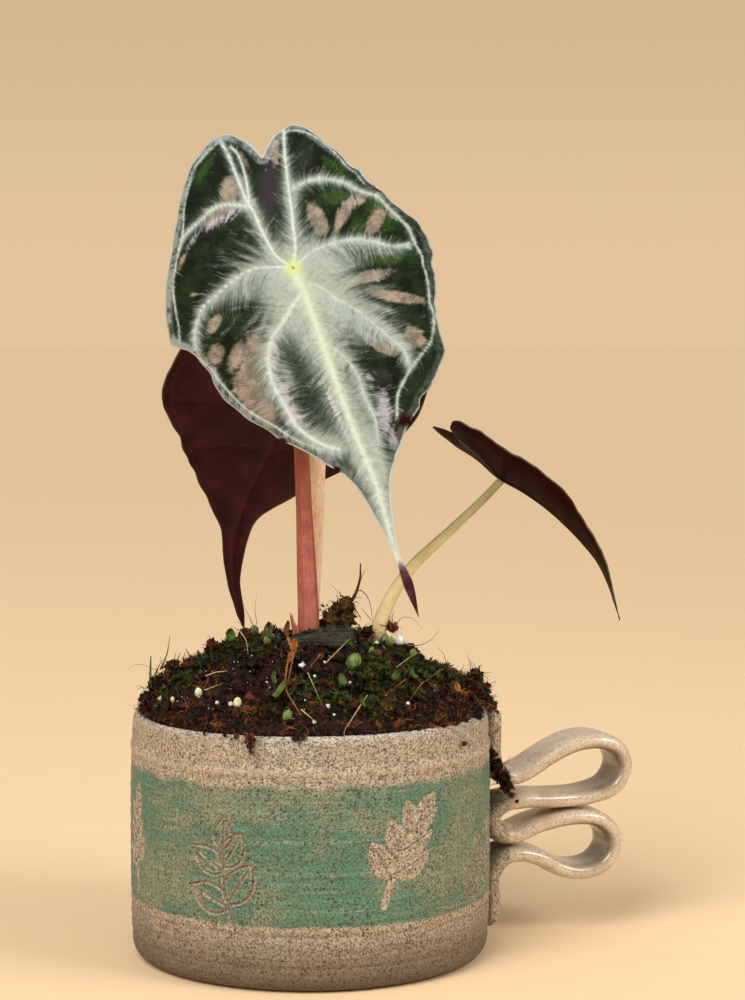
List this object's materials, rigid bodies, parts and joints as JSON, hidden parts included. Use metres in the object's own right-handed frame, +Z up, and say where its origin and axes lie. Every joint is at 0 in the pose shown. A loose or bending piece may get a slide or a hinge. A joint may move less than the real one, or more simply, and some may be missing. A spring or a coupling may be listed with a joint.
{
  "type": "potted venom alocasia",
  "caption": "Young silver-veined arrow-leaf plant growing from a peat mound in a low speckled stoneware cup with a looped strap handle.",
  "frame": {"origin": "centre of the cup's flat base", "axes": "+Z up, +X towards the handle's side, -Y towards the side that the large front leaf faces"},
  "size_m": [0.1211, 0.0854, 0.1962],
  "materials": {
    "stoneware": "speckled bare clay with a green-teal glaze band",
    "glazed_strap": "satin glaze",
    "peat": "loose fibrous peat with moss",
    "corm_skin": "dry fibrous skin",
    "stalk_red": "smooth waxy",
    "stalk_peach": "smooth waxy",
    "stalk_green": "smooth waxy",
    "leaf_silver": "velvety satin",
    "leaf_maroon": "satin",
    "bark": "rough weathered",
    "old_root": "dry fibrous",
    "husk": "dry papery"
  },
  "bodies": {
    "root": {"cup": "stoneware", "handle": "glazed_strap", "soil": "peat", "corm": "corm_skin", "bark_flake": "bark", "root_clump": "old_root", "dry_sheath": "husk", "petiole_front": "stalk_red", "petiole_back": "stalk_peach", "petiole_side": "stalk_green", "blade_front": "leaf_silver", "blade_back": "leaf_maroon", "blade_side": "leaf_maroon"}
  },
  "joints": []
}
